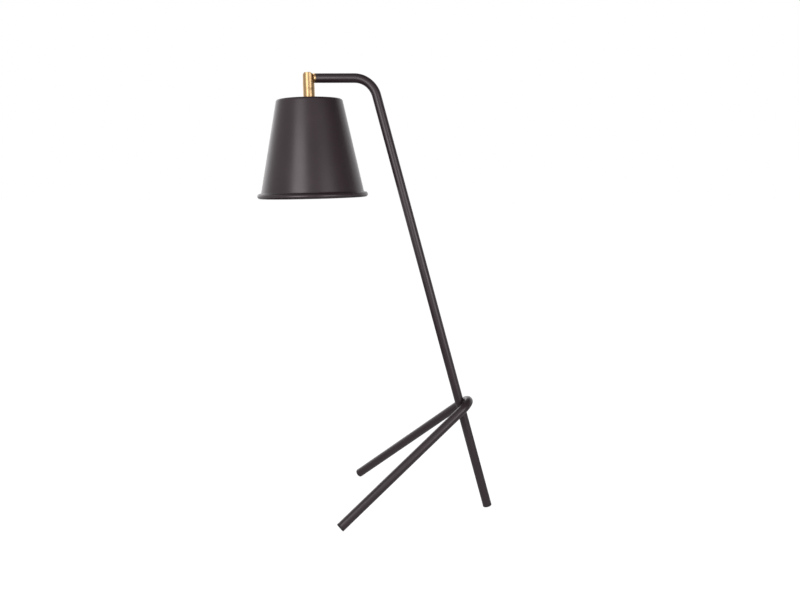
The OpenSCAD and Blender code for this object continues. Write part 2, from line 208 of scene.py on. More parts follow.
def moulded(name, dark, pale, roughness, grain, depth):
    material, tree, where = newMaterial(name)
    cloud = addNode(tree, "ShaderNodeTexNoise", Vector=where.outputs["Object"],
                    Scale=mouldedSkin["cloudsPerMetre"], Detail=3.0)
    skin = addNode(tree, "ShaderNodeTexVoronoi", Vector=where.outputs["Object"], Scale=1 / grain)
    colour = addNode(tree, "ShaderNodeMix", data_type="RGBA", in0=cloud.outputs[0],
                     in6=linear(dark), in7=linear(pale))
    bump = addNode(tree, "ShaderNodeBump", Height=skin.outputs[0], Strength=1.0, Distance=depth)
    finishMaterial(tree, addNode(tree, "ShaderNodeBsdfPrincipled", Base_Color=colour.outputs[2],
                                 Roughness=roughness, IOR=mouldedSkin["ior"], Normal=bump.outputs[0]))
    return material


# Injection-moulded polyethylene plugs: dull black with a fine spark-eroded skin
footPlastic = moulded("mouldedPolyethylene", "#191718", "#221F1F", 0.5, 0.5 * mm, 0.02 * mm)
# Soft moulded rubber of the grommet: flat black
grommetRubber = moulded("mouldedRubber", "#141414", "#1C1B1B", 0.68, 0.6 * mm, 0.02 * mm)
# Extruded PVC sheath: black with a waxy sheen
cableSheath = moulded("extrudedSheath", "#161515", "#201E1E", 0.42, 0.8 * mm, 0.01 * mm)
# Moulded phenolic of the lampholder: hard, deep black, with a soft gloss
phenolic = moulded("mouldedPhenolic", "#151313", "#1E1B1A", 0.3, 1.2 * mm, 0.006 * mm)
# Glazed steatite of the contact block: off-white ceramic with fine specks
steatite = moulded("glazedSteatite", "#DCD7CB", "#E9E5DB", 0.3, 0.9 * mm, 0.01 * mm)
print("materials made")


# A mesh of closed shells. Each shell is a grid of points, rows by columns, in metres, closed
# around its columns. Its rows end in a point at both ends, or come back to the first row.
def shellMesh(name, rowSets):
    corners, faces, rowNumbers, first = [], [], [], 0
    for rows in rowSets:
        rows = np.asarray(rows, float)
        count, columns = rows.shape[:2]
        index = first + np.arange(count * columns).reshape(count, columns)
        beside = np.roll(index, -1, axis=1)
        faces.append(np.stack([index[:-1], beside[:-1], beside[1:], index[1:]], -1).reshape(-1, 4))
        corners.append(rows.reshape(-1, 3))
        rowNumbers.append(np.arange(count - 1).repeat(columns))
        first += count * columns
    mesh = bpy.data.meshes.new(name)
    mesh.from_pydata(np.concatenate(corners).tolist(), [], np.concatenate(faces).tolist())
    return mesh, np.concatenate(rowNumbers)


sharpFrom = 38  # degrees: sharper edges stay sharp in the shading
sameSpot, noLength = 1e-7, 1e-8  # metres
mostOfSide = 0.45  # a softened corner takes at most this share of each side
nearZero = 1e-6  # anything smaller counts as zero


# Merges a mesh's doubles, turns its faces outwards, and shades it
def closeMesh(mesh):
    shell = bmesh.new()
    shell.from_mesh(mesh)
    bmesh.ops.remove_doubles(shell, verts=shell.verts, dist=sameSpot)
    bmesh.ops.dissolve_degenerate(shell, edges=shell.edges, dist=noLength)
    bmesh.ops.recalc_face_normals(shell, faces=shell.faces)
    shell.to_mesh(mesh)
    shell.free()
    shadeMesh(mesh)


def shadeMesh(mesh):
    mesh.polygons.foreach_set("use_smooth", np.ones(len(mesh.polygons), bool))
    mesh.set_sharp_from_angle(angle=math.radians(sharpFrom))


# One piece from closed shells. inner(row numbers) marks the faces that take the second material,
# and axis is the direction of the turning rings on a lathe-turned piece.
def addPiece(name, rowSets, body, material, nodes, inner=None, axis=None, cutter=None):
    mesh, rowNumbers = shellMesh(name, rowSets)
    for each in material if isinstance(material, list) else [material]:
        mesh.materials.append(each)
    if inner is not None:
        mesh.polygons.foreach_set("material_index", inner(rowNumbers).astype(np.int32))
    closeMesh(mesh)
    piece = bpy.data.objects.new(name, mesh)
    scene.collection.objects.link(piece)
    if cutter is not None:
        cutOut(piece, cutter)
    if axis is not None:
        place = np.empty(len(piece.data.vertices) * 3)
        piece.data.vertices.foreach_get("co", place)
        turns = piece.data.attributes.new("turning", "FLOAT", "POINT")
        turns.data.foreach_set("value", place.reshape(-1, 3) @ np.asarray(axis, float))
    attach(piece, body)
    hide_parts(*nodes)
    return piece


# Cuts one closed shell out of a piece
def cutOut(piece, cutterRows):
    cutterMesh, _ = shellMesh("cutter", [cutterRows])
    closeMesh(cutterMesh)
    cutter = bpy.data.objects.new("cutter", cutterMesh)
    scene.collection.objects.link(cutter)
    change = piece.modifiers.new("cut", "BOOLEAN")
    change.solver, change.object = "EXACT", cutter
    seen = piece.evaluated_get(bpy.context.evaluated_depsgraph_get())
    cut = bpy.data.meshes.new_from_object(seen)
    piece.modifiers.clear()
    piece.data = cut
    shadeMesh(cut)
    bpy.data.objects.remove(cutter)


# Points of a circular arc: centre plus radius times (cos, sin), degrees from start to end
def arc(centre, radius, start, end, steps):
    angle = np.radians(np.linspace(start, end, steps + 1))
    return np.stack([centre[0] + radius * np.cos(angle), centre[1] + radius * np.sin(angle)], -1)


# Points on a straight run, without its ends
def along(start, end, steps):
    t = np.linspace(0, 1, steps + 1)[1:-1, None]
    return np.array(start) * (1 - t) + np.array(end) * t


# A closed outline whose corners are quadratic curves that reach at most radius from each corner
def softened(points, radius, steps=3):
    points = np.asarray(points, float)
    toBefore, toAfter = np.roll(points, 1, 0) - points, np.roll(points, -1, 0) - points
    lengths = [np.maximum(np.linalg.norm(d, axis=1), 1e-12)[:, None] for d in (toBefore, toAfter)]
    entry, leave = (points + d / n * np.minimum(radius, mostOfSide * n)
                    for d, n in zip((toBefore, toAfter), lengths))
    t = np.linspace(0, 1, steps + 1)[None, :, None]
    curve = (1 - t) ** 2 * entry[:, None] + 2 * t * (1 - t) * points[:, None] + t ** 2 * leave[:, None]
    onAxis = points[:, 0] < nearZero
    curve[onAxis] = points[onAxis][:, None]
    return curve.reshape(-1, 2)


# The same outline with points added so that none is further than step from the next
def refined(points, step):
    points = np.concatenate([points, points[:1]])
    run = np.concatenate([[0], np.cumsum(np.linalg.norm(np.diff(points, axis=0), axis=1))])
    places = np.union1d(run, np.arange(0, run[-1], step))
    return np.stack([np.interp(places, run, points[:, k]) for k in (0, 1)], -1)[:-1]


# Turns an outline (r, z), in mm, about the z axis of place: x = r cos a, y = r sin a. radius(r, z, a)
# may change r over the surface. Gives rows by columns by 3, in metres.
def turned(outline, place, columns=96, radius=None):
    outline = np.asarray(outline, float)
    angle = np.linspace(0, 2 * np.pi, columns, endpoint=False)[None, :]
    r, z = outline[:, :1] + 0 * angle, outline[:, 1:2] + 0 * angle
    if radius is not None:
        r = radius(r, z, angle)
    return place(np.stack([r * np.cos(angle), r * np.sin(angle), z], -1))


# A function that takes points from a local frame in mm to the row frame in metres
def frameAt(origin, xAxis, yAxis, zAxis):
    axes = np.array([xAxis, yAxis, zAxis], float)
    return lambda points: (np.asarray(points) @ axes + np.array(origin, float)) * mm


# Repeats the first row at the end, so that a shell runs back to its start
def loop(points):
    return np.concatenate([points, points[:1]])


# Places, with the CAD source's own values in mm and degrees
stand = {"tubeRadius": 6.35, "wall": 1.2, "lean": 15.7, "armHeight": 608, "pinReach": 253, "armBend": 32,
         "flat": 0.6, "capHead": 2, "armGap": 11.6, "legReach": 196.8, "legSlope": 41.9,
         "legSplay": 20.6, "legBend": 22.5, "weldGap": 0.1, "inlet": 28, "inletRadius": 3.6,
         "headTilt": 1.7}
tubeR, boreR = stand["tubeRadius"], stand["tubeRadius"] - stand["wall"]
lean, slope, splay = (math.radians(stand[k]) for k in ("lean", "legSlope", "legSplay"))
farSide = np.array([0, 1.0, 0])
upPole = np.array([-math.sin(lean), 0, math.cos(lean)])
outPole = np.array([math.cos(lean), 0, math.sin(lean)])
poleEnd = np.array([math.cos(lean) * (tubeR - stand["flat"] / (2 * math.sin(lean))), 0,
                    tubeR * math.sin(lean) - stand["flat"]])
cornerS = (stand["armHeight"] - poleEnd[2]) / math.cos(lean)
bendTurn = math.pi / 2 - lean
bendRun = stand["armBend"] * math.tan(bendTurn / 2)
bendS = cornerS - bendRun
armEndX = stand["armGap"] - stand["pinReach"]
armLength = poleEnd[0] - cornerS * math.sin(lean) - bendRun - armEndX
atPole = frameAt(poleEnd, outPole, farSide, upPole)

legEndZ = tubeR * math.sqrt(1 - (math.sin(slope) * math.cos(splay)) ** 2) - stand["flat"]
footOffset = (-stand["legReach"] - poleEnd[0]) * math.cos(lean) + (legEndZ - poleEnd[2]) * math.sin(lean)
planeRun = (2 * tubeR + stand["weldGap"] - footOffset) / math.cos(slope - lean) - stand["legBend"]
legLength = (planeRun + stand["legBend"] * math.sin(splay)) / math.cos(splay)
upPlane = np.array([math.cos(slope), 0, math.sin(slope)])
hairpinCentre = np.array([-stand["legReach"], 0, legEndZ]) + planeRun * upPlane

tilt = math.radians(stand["headTilt"])
pin = (-stand["pinReach"], 0, stand["armHeight"])
headX = np.array([math.cos(tilt), 0, math.sin(tilt)])
headZ = np.array([-math.sin(tilt), 0, math.cos(tilt)])
atHead = frameAt(pin, headX, farSide, headZ)


# Frame of one leg: z runs up the tube from the end of its foot plug
def legFrame(side):
    out = math.cos(side * (math.pi / 2 - splay)) * upPlane + side * math.cos(splay) * farSide
    upLeg = math.cos(splay) * upPlane - side * math.sin(splay) * farSide
    end = hairpinCentre + stand["legBend"] * out - legLength * upLeg
    return frameAt(end, out, np.cross(upLeg, out), upLeg)


# A bent tube's closed shell: the outside from start to end, a rim with its edge taken off, and back
# along the bore. The path is a straight run, an arc about centre, and a straight run. A ring point
# is centre + r (cos a n + sin a b), where b is the normal of the path's plane and n = b x forward.
# A drawn bend is flatter in its plane and fuller across it, by sin squared along the arc.
def tubeShell(runBefore, centre, bendRadius, turnFrom, turnTo, xAxis, yAxis, runAfter):
    bend = {"steps": 64, "runSteps": 24, "columns": 96, "flattening": 0.02, "rim": 0.25}
    turns = np.linspace(turnFrom, turnTo, bend["steps"] + 1)[:, None]
    onArc = centre + bendRadius * (np.cos(turns) * xAxis + np.sin(turns) * yAxis)
    arcForward = np.cos(turns) * yAxis - np.sin(turns) * xAxis
    before = np.linspace(-runBefore, 0, bend["runSteps"], endpoint=False)[:, None]
    after = np.linspace(runAfter, 0, bend["runSteps"], endpoint=False)[::-1, None]
    path = np.concatenate([onArc[:1] + before * arcForward[:1], onArc,
                           onArc[-1:] + after * arcForward[-1:]])
    forward = np.concatenate([arcForward[:1].repeat(bend["runSteps"], 0), arcForward,
                              arcForward[-1:].repeat(bend["runSteps"], 0)])
    binormal = np.cross(xAxis, yAxis)
    normal = np.cross(binormal, forward)
    drawn, onBend = np.zeros(len(path)), slice(bend["runSteps"], -bend["runSteps"])
    drawn[onBend] = bend["flattening"] * np.sin(np.linspace(0, np.pi, len(turns))) ** 2
    angle = np.linspace(0, 2 * np.pi, bend["columns"], endpoint=False)[None, :, None]

    def ring(rows, radius):
        squeeze = drawn[rows, None, None]
        return (path[rows, None] + radius * (1 - squeeze) * np.cos(angle) * normal[rows, None]
                + radius * (1 + squeeze / 2) * np.sin(angle) * binormal)

    outside, inside = ring(slice(None), tubeR), ring(slice(None), boreR)
    rimStart, rimEnd = ring(slice(0, 1), tubeR - bend["rim"]), ring(slice(-1, None), tubeR - bend["rim"])
    outside[0] += bend["rim"] * forward[0]
    outside[-1] -= bend["rim"] * forward[-1]
    return np.concatenate([rimStart, outside, rimEnd, inside[::-1], rimStart]) * mm


# Pole: one tube bent over into the arm, with the cable inlet's hole low on its far side
bendCentre = poleEnd + bendS * upPole - stand["armBend"] * outPole
poleRows = tubeShell(bendS - stand["capHead"], bendCentre, stand["armBend"], 0, bendTurn,
                     outPole, upPole, armLength)
inletCentre = poleEnd + stand["inlet"] * upPole
atInlet = frameAt(inletCentre, outPole, -upPole, farSide)
holeR, holeFrom, holeTo = stand["inletRadius"], 1, 9
holeRows = turned([(0, holeFrom), (holeR, holeFrom), (holeR, holeTo), (0, holeTo)], atInlet, 64)
addPiece("poleTube", [poleRows], "stand", coatedSteel, ["pole"], cutter=holeRows)
print("pole made")

# Hairpin: the other two legs, one tube
halfTurn = math.pi / 2 - splay
legRun = legLength - stand["capHead"]
hairpinRows = tubeShell(legRun, hairpinCentre, stand["legBend"], -halfTurn, halfTurn,
                        upPlane, farSide, legRun)
addPiece("hairpinTube", [hairpinRows], "stand", coatedSteel, ["leg_hairpin"])
print("hairpin made")

# Weld: a rippled bead round the place where pole and hairpin touch. Its centre line is a circle
# that bows with the two tubes, by r squared (sin^2 a - cos^2 a) / 4R.
weld = {"ringRadius": 4.3, "beadRadius": 1.15, "ripple": 0.1, "ripples": 22, "steps": 264, "columns": 24}
angle = np.linspace(0, 2 * np.pi, weld["steps"], endpoint=False)
touch = hairpinCentre + stand["legBend"] * upPlane - (tubeR + stand["weldGap"] / 2) * outPole
outwards = np.cos(angle)[:, None] * farSide + np.sin(angle)[:, None] * upPole
bow = weld["ringRadius"] ** 2 * (np.sin(angle) ** 2 - np.cos(angle) ** 2) / (4 * tubeR)
ringLine = touch + weld["ringRadius"] * outwards + bow[:, None] * outPole
beadR = weld["beadRadius"] + weld["ripple"] * np.abs(np.sin(angle * weld["ripples"] / 2))
beadR = beadR[:, None, None]
around = np.linspace(0, 2 * np.pi, weld["columns"], endpoint=False)[None, :, None]
weldRows = ringLine[:, None] + beadR * (np.cos(around) * outwards[:, None] + np.sin(around) * outPole)
addPiece("weldBead", [loop(weldRows) * mm], "stand", coatedSteel, ["weld_bead"])

# Foot plugs: a rounded head, and a stem with grip rings in the tube; the table's flat is z = 0
plug = {"edge": 0.7, "stem": 11, "stemGap": 0.45, "seam": 0.15, "grip": 0.3, "gripHalf": 0.35,
        "gripsAt": (4.5, 9.5), "tip": 0.8}
plugEdge, plugHead, plugTop = plug["edge"], stand["capHead"], stand["capHead"] + plug["stem"]
stemR, flatR = boreR - plug["stemGap"], tubeR - plugEdge
grips = np.concatenate([[(stemR, z - plug["gripHalf"]), (stemR + plug["grip"], z),
                         (stemR, z + plug["gripHalf"])] for z in plug["gripsAt"]])
plugLine = np.concatenate([
    [(0, 0), (0.5 * flatR, 0)], arc((flatR, plugEdge), plugEdge, -90, 0, 8),
    [(tubeR, plugHead - plug["seam"]), (tubeR - plug["seam"], plugHead), (stemR, plugHead)], grips,
    [(stemR, plugTop - plug["tip"]), (stemR - plug["tip"], plugTop), (0, plugTop)]])
for name, place, node in (("poleFootPlug", atPole, "pole_foot_cap"),
                          ("nearFootPlug", legFrame(-1), "near_foot_cap"),
                          ("farFootPlug", legFrame(1), "far_foot_cap")):
    rows = turned(plugLine, place)
    rows[..., 2] = np.maximum(rows[..., 2], 0)
    addPiece(name, [rows], "stand", footPlastic, [node])
print("weld and feet made")

# Grommet: a bore, a domed outer flange, a groove that holds the tube's wall, and an inner flange.
# Its faces on the wall lie at y = sqrt(R^2 - (r cos a)^2), with R the tube's or the bore's radius.
grommet = {"bore": 2.5, "flange": 4.8, "innerFlange": 4.7, "groove": 3.58, "outer": 7.65, "inner": 3,
           "edge": 0.5, "crown": 0.9, "slack": 0.02, "thinnest": 0.05}
angle = np.linspace(0, 2 * np.pi, 96, endpoint=False)[None, :]
edge, crown = grommet["edge"], grommet["crown"]
dome = np.concatenate([arc((grommet["bore"] + edge, grommet["outer"] - edge), edge, 180, 90, 5),
                       arc((grommet["flange"] - crown, grommet["outer"] - crown), crown, 90, 0, 6)])
grommetEnds = [(dome[:, :1] + 0 * angle, dome[:, 1:] + 0 * angle)]
onWall, inWall = tubeR + grommet["slack"], boreR - grommet["slack"]
for r, wallR in ((grommet["flange"], onWall), (grommet["groove"], onWall),
                 (grommet["groove"], inWall), (grommet["innerFlange"], inWall)):
    grommetEnds.append((r + 0 * angle, np.sqrt(wallR ** 2 - (r * np.cos(angle)) ** 2)))
for r in (grommet["innerFlange"], grommet["bore"]):
    bore = np.sqrt(boreR ** 2 - (r * np.cos(angle)) ** 2)
    grommetEnds.append((r + 0 * angle, np.minimum(grommet["inner"], bore) + 0 * angle))
radii, heights = (np.concatenate([pair[k] for pair in grommetEnds]) for k in (0, 1))
heights[-2] = np.minimum(heights[-2], heights[-3] - grommet["thinnest"])
grommetRows = atInlet(np.stack([radii * np.cos(angle), radii * np.sin(angle), heights], -1))
addPiece("inletGrommet", [loop(grommetRows)], "stand", grommetRubber, ["cable_grommet"])
print("grommet made")

# Swivel, arm side: a half-round ear turned from bar, a counterbored seat for the pin's head, a wire
# chamber in its flat face, a collar and a stud. The ear is a grid round the pin, with its back at
# y = sqrt(R^2 - z^2), its edge a circle about the pin, and straight sides that run into the collar.
armEar = {"radius": 6.35, "gap": 0.3, "collarFrom": 8.7, "lap": 0.3, "chamber": 5, "depth": 2.2,
          "pinBore": 2.05, "seat": 4.4, "seatRadius": 4.0, "edge": 0.35, "wire": 2.6, "stud": 4,
          "studLength": 9, "collarEdge": 0.45, "inBar": 0.01}
angle = np.linspace(0, 2 * np.pi, 288, endpoint=False)
cosA, sinA = np.cos(angle)[None], np.sin(angle)[None]
barR, gap = armEar["radius"], armEar["gap"]
insideR = barR - armEar["inBar"]
sideReach = insideR / np.maximum(np.abs(sinA), nearZero)
collarReach = (armEar["collarFrom"] + armEar["lap"]) / np.maximum(cosA, nearZero)
edgeR = np.where(cosA > 0, np.minimum(collarReach, sideReach), insideR)


def backOf(r):
    return np.sqrt(np.maximum(barR ** 2 - (r * sinA) ** 2, gap ** 2))


fillet = np.minimum(armEar["edge"], mostOfSide * (backOf(edgeR) - gap))
q = np.linspace(0, np.pi / 2, 6)[:, None]
t = np.linspace(0, 1, 15)[1:-1, None]
seatR, seat = armEar["seatRadius"], armEar["seat"]
outerRim = edgeR - fillet * (1 - np.cos(q))
seatRim = seatR + armEar["edge"] * (1 - np.sin(q))
backRun = seatRim[:1] + (outerRim[-1:] - seatRim[:1]) * (1 - t ** 2)
flat = 0 * cosA
earR = np.concatenate([
    armEar["pinBore"] + flat, armEar["chamber"] + flat, armEar["chamber"] + flat, edgeR, outerRim,
    backRun, seatRim + flat, seatR + flat, armEar["pinBore"] + flat])
earY = np.concatenate([
    gap + armEar["depth"] + flat, gap + armEar["depth"] + flat, gap + flat, gap + flat,
    backOf(outerRim) - fillet * (1 - np.sin(q)), backOf(backRun),
    backOf(seatRim + flat) - armEar["edge"] * (1 - np.cos(q)), seat + flat, seat + flat])
atPin = frameAt(pin, (1, 0, 0), farSide, (0, 0, 1))
armEarRows = atPin(np.stack([earR * cosA, earY, earR * sinA], -1))
collarFrom, collarTo = armEar["collarFrom"], stand["armGap"]
studTo = collarTo + armEar["studLength"]
collarLine = softened([(armEar["wire"], collarFrom), (barR, collarFrom), (barR, collarTo),
                       (armEar["stud"], collarTo), (armEar["stud"], studTo), (armEar["wire"], studTo)],
                      armEar["collarEdge"])
collarRows = turned(collarLine, frameAt(pin, farSide, (0, 0, 1), (1, 0, 0)), 144)
addPiece("armSideEar", [loop(armEarRows), loop(collarRows)], "stand", satinBrass,
         ["swivel_arm_half"], axis=(1, 0, 0))
print("swivel, arm side, made")

# Shade: spun sheet with a flat top, a rounded shoulder, a straight cone, a cove that turns the sheet
# outwards, and a rim that rolls down, under and back up inside
shade = {"drop": 28.5, "topRadius": 45.4, "height": 134, "cone": 11.67, "sheet": 1.0, "shoulder": 3.5,
         "curl": 3.58, "cove": 2.0, "rimFlat": 0.1, "edgeAngle": -210, "lipBulge": 0.4, "hole": 5.25}
cone, coneSide = math.radians(shade["cone"]), 180 + shade["cone"]
curlH = shade["drop"] + shade["height"] - shade["curl"]
coveH = curlH - shade["curl"] - shade["cove"]
coneAtCove = shade["topRadius"] + (coveH - shade["drop"]) * math.tan(cone)
shoulder = (shade["topRadius"] - shade["shoulder"] * (1 - math.sin(cone)) / math.cos(cone),
            -shade["drop"] - shade["shoulder"])
cove = (coneAtCove + shade["cove"] / math.cos(cone), -coveH)
curl = (cove[0] + shade["rimFlat"], -curlH)
topOut = arc(shoulder, shade["shoulder"], 90, shade["cone"], 14)
coveOut = arc(cove, shade["cove"], coneSide, 270, 14)
curlOut = arc(curl, shade["curl"], 90, shade["edgeAngle"], 60)
curlIn = arc(curl, shade["curl"] - shade["sheet"], shade["edgeAngle"], 90, 50)
coveIn = arc(cove, shade["cove"] + shade["sheet"], 270, coneSide, 14)
topIn = arc(shoulder, shade["shoulder"] - shade["sheet"], shade["cone"], 90, 10)
edgeTop, edgeBottom = (shade["hole"], -shade["drop"]), (shade["hole"], -shade["drop"] - shade["sheet"])
lip = math.radians(shade["edgeAngle"])
lipOut = shade["lipBulge"] * shade["sheet"] * np.array([math.sin(lip), -math.cos(lip)])
lipMid = (curlOut[-1] + curlIn[0]) / 2 + lipOut
outline = np.concatenate([[edgeTop], along(edgeTop, topOut[0], 16), topOut,
                          along(topOut[-1], coveOut[0], 60), coveOut, curlOut, [lipMid], curlIn, coveIn])
whiteFrom = len(outline) - 1
outline = np.concatenate([outline, along(coveIn[-1], topIn[0], 60), topIn,
                          along(topIn[-1], edgeBottom, 16), [edgeBottom]])
whiteTo = len(outline) - 1
addPiece("spunShade", [loop(turned(outline, atHead, 256))], "head", [coatedAluminium, whitePaint],
         ["shade"], inner=lambda row: (row >= whiteFrom) & (row < whiteTo))
print("shade made")

# Swivel, shade side: a barrel whose upper part is cut back to one flat-sided ear
ear = {"radius": 8, "drop": 13.4, "shoulder": -7.6, "half": 7.25, "top": 7.3, "corner": 8.3, "gap": 0.3,
       "taper": (-5.2, -3.2), "edge": 0.35, "lowEdge": 0.08, "centre": -3.6, "roundness": 26,
       "fade": 0.6, "outOfWay": 30, "outOfWayBelow": 60, "thinnest": 1e-3, "bodyFrom": 0.4,
       "upperFrom": 0.3}


# Distance from (0, centre) to the section's edge at height z. The section is a disc, cut by two side
# planes and by the flat back; a p-norm of the distances rounds the corners between them. The side
# planes close in along a circle at the top, and move out of the way below the taper.
def earSection(z, cut, inset):
    c = ear["centre"]
    disc = -c * sinA + np.sqrt((c * sinA) ** 2 - c * c + (ear["radius"] - inset) ** 2)
    narrow = np.clip((z - ear["taper"][0]) / (ear["taper"][1] - ear["taper"][0]), 0, 1)
    side = ear["radius"] + ear["outOfWay"] * (narrow <= 0) + (ear["half"] - ear["radius"]) * narrow
    topCurve = np.sqrt(np.maximum(ear["corner"] ** 2 - z * z, 0.01)) + ear["outOfWayBelow"] * (z < 0)
    side = np.minimum(side, topCurve) - inset
    toSide = side / np.maximum(np.abs(cosA), ear["thinnest"])
    toBack = (-ear["gap"] - inset - c) / np.maximum(sinA, ear["thinnest"])
    p = ear["roundness"]
    cutDisc = (disc ** -p + toSide ** -p + toBack ** -p) ** (-1 / p)
    return disc * (1 - cut) + cutDisc * cut


earEdge, bodySteps, earSteps, capSteps = ear["edge"], 8, 72, 5
q, s = np.linspace(0, np.pi / 2, 6)[:, None], np.linspace(0, 1, capSteps)[:, None]
body, upper = np.zeros((bodySteps, 1)), np.zeros((earSteps, 1))
heights = np.concatenate([
    -ear["drop"] + 0 * s, -ear["drop"] + ear["lowEdge"] + 0 * s[:1],
    np.linspace(-ear["drop"] + ear["bodyFrom"], ear["shoulder"] - earEdge, bodySteps)[:, None],
    ear["shoulder"] - earEdge * (1 - np.sin(q)), ear["shoulder"] + 0 * s[1:],
    np.linspace(ear["shoulder"] + ear["upperFrom"], ear["top"] - earEdge, earSteps)[:, None],
    ear["top"] - earEdge * (1 - np.sin(q)), ear["top"] + 0 * s])
cuts = np.concatenate([0 * s, 0 * s[:1], body, 0 * q, s[1:], upper + 1, 0 * q + 1, 0 * s + 1])
insets = np.concatenate([
    ear["lowEdge"] + 0 * s, 0 * s[:1], body, earEdge * (1 - np.cos(q)), earEdge * (1 - s[1:]),
    upper, earEdge * (1 - np.cos(q)), earEdge + 0 * s])
# The barrel's front runs past the shoulder unbroken, so only what is cut away has its edge rounded
wholeR, cutR = (earSection(ear["shoulder"], cut, 0) for cut in (0, 1))
cutAway = np.clip((wholeR - cutR) / ear["fade"], 0, 1)
atShoulder = np.abs(heights - ear["shoulder"] + earEdge / 2) < earEdge / 2 + 0.001
insets = np.where(atShoulder, insets * cutAway, insets)
shrink = np.concatenate([
    s, 1 + 0 * s[:1], body + 1, 0 * q + 1, 0 * s[1:] + 1, upper + 1, 0 * q + 1, 1 - s])
reach = earSection(heights, cuts, insets) * shrink
barrelRows = atHead(np.stack([reach * cosA, ear["centre"] + reach * sinA, heights + 0 * reach], -1))
addPiece("barrelEar", [barrelRows], "head", satinBrass, ["swivel_shade_half"], axis=headZ)

# Coupler: the plain sleeve under the ear
coupler = {"bore": 5, "edge": 0.09}
couplerLine = softened([(coupler["bore"], -ear["drop"]), (ear["radius"], -ear["drop"]),
                        (ear["radius"], -shade["drop"]), (coupler["bore"], -shade["drop"])],
                       coupler["edge"])
addPiece("barrelCoupler", [loop(turned(couplerLine, atHead, 192))], "head", satinBrass,
         ["barrel_coupler"], axis=headZ)

# Pin: a screw with a slotted pan head, in the rear ear's seat, and the split washer under its head
pivot = {"shank": 2, "tip": 6.5, "headFrom": 5.0, "head": 3.6, "headTo": 7.0, "crown": 0.75, "slot": 0.9,
         "slotDepth": 0.9, "slotReach": 5, "chamfer": 0.4, "headEdge": 0.15}
atPivot = frameAt(pin, headX, -headZ, farSide)
pivotLine = np.concatenate([
    [(0, -pivot["tip"]), (pivot["shank"] - pivot["chamfer"], -pivot["tip"]),
     (pivot["shank"], pivot["chamfer"] - pivot["tip"]), (pivot["shank"], pivot["headFrom"]),
     (pivot["head"] - pivot["headEdge"], pivot["headFrom"]),
     (pivot["head"], pivot["headFrom"] + pivot["headEdge"])],
    arc((pivot["head"] - pivot["crown"], pivot["headTo"] - pivot["crown"]), pivot["crown"], 0, 90, 8),
    [(0, pivot["headTo"])]])
slotBox = np.array([(-1, -1), (1, -1), (1, 1), (-1, 1)]) * (pivot["slotReach"], pivot["slot"] / 2)
slotFloor, slotTop = pivot["headTo"] - pivot["slotDepth"], pivot["headTo"] + 1
slotRows = atPivot(np.stack([np.column_stack([slotBox * k, np.full(4, z)]) for k, z in
                             ((0, slotFloor), (1, slotFloor), (1, slotTop), (0, slotTop))]))
addPiece("pivotScrew", [turned(pivotLine, atPivot, 72)], "head", zincPlate, ["swivel_screw"],
         cutter=slotRows)
spring = {"inner": 2.1, "outer": 3.35, "from": 4.45, "to": 4.98, "split": 9, "steps": 90, "edge": 0.08}
around = np.radians(np.linspace(spring["split"], 360 - spring["split"], spring["steps"] + 1))[:, None]
square = softened([(spring["inner"], spring["from"]), (spring["outer"], spring["from"]),
                   (spring["outer"], spring["to"]), (spring["inner"], spring["to"])], spring["edge"], 2)
washerRows = np.stack([square[:, 0] * np.cos(around), square[:, 0] * np.sin(around),
                       square[:, 1] + 0 * around], -1)
washerRows = np.concatenate([washerRows[:1].mean(1, keepdims=True).repeat(len(square), 1), washerRows,
                             washerRows[-1:].mean(1, keepdims=True).repeat(len(square), 1)])
addPiece("splitWasher", [atPivot(washerRows)], "head", zincPlate, ["spring_washer"])
print("swivel, shade side, made")

# What clamps the shade: a wide washer and a hexagon nut whose corners are chamfered by a cone
clamp = {"washerFrom": 29.5, "washer": 1.2, "washerRadius": 11, "washerEdge": 0.3, "nut": 3, "flats": 14,
         "thread": 5, "nutFrom": 6, "nutReach": 8.0, "chamferRadius": 6.85, "chamferSlope": 1.7,
         "nutDepths": (0, 0.2, 0.4, 0.6, 0.75, 1.2, 1.8, 2.25, 2.4, 2.6, 2.8, 3)}
washerTo = clamp["washerFrom"] + clamp["washer"]
washerR = clamp["washerRadius"]
clampLine = softened([(shade["hole"], -clamp["washerFrom"]), (washerR, -clamp["washerFrom"]),
                      (washerR, -washerTo), (shade["hole"], -washerTo)], clamp["washerEdge"])
addPiece("clampWasher", [loop(turned(clampLine, atHead, 128))], "head", zincPlate, ["shade_washer"])
nutTop, nutBottom = -washerTo, -washerTo - clamp["nut"]


# The hexagon's edge lies at flats/2 over the cosine of the angle from the nearest flat's middle. It
# is cut by the chamfer's cone, and the threaded bore keeps its radius.
def nutEdge(r, z, angle):
    hexagon = clamp["flats"] / 2 / np.cos(angle % (math.pi / 3) - math.pi / 6)
    depth = np.minimum(nutTop - z, z - nutBottom)
    chamfer = clamp["chamferRadius"] + clamp["chamferSlope"] * depth
    return np.where(r > clamp["nutFrom"], np.minimum(hexagon, chamfer), r)


nutSide = [(clamp["nutReach"], nutTop - depth) for depth in clamp["nutDepths"]]
nutLine = [(clamp["thread"], nutTop), *nutSide, (clamp["thread"], nutBottom)]
addPiece("lockNut", [loop(turned(nutLine, atHead, 96, nutEdge))], "head", zincPlate, ["lock_nut"])

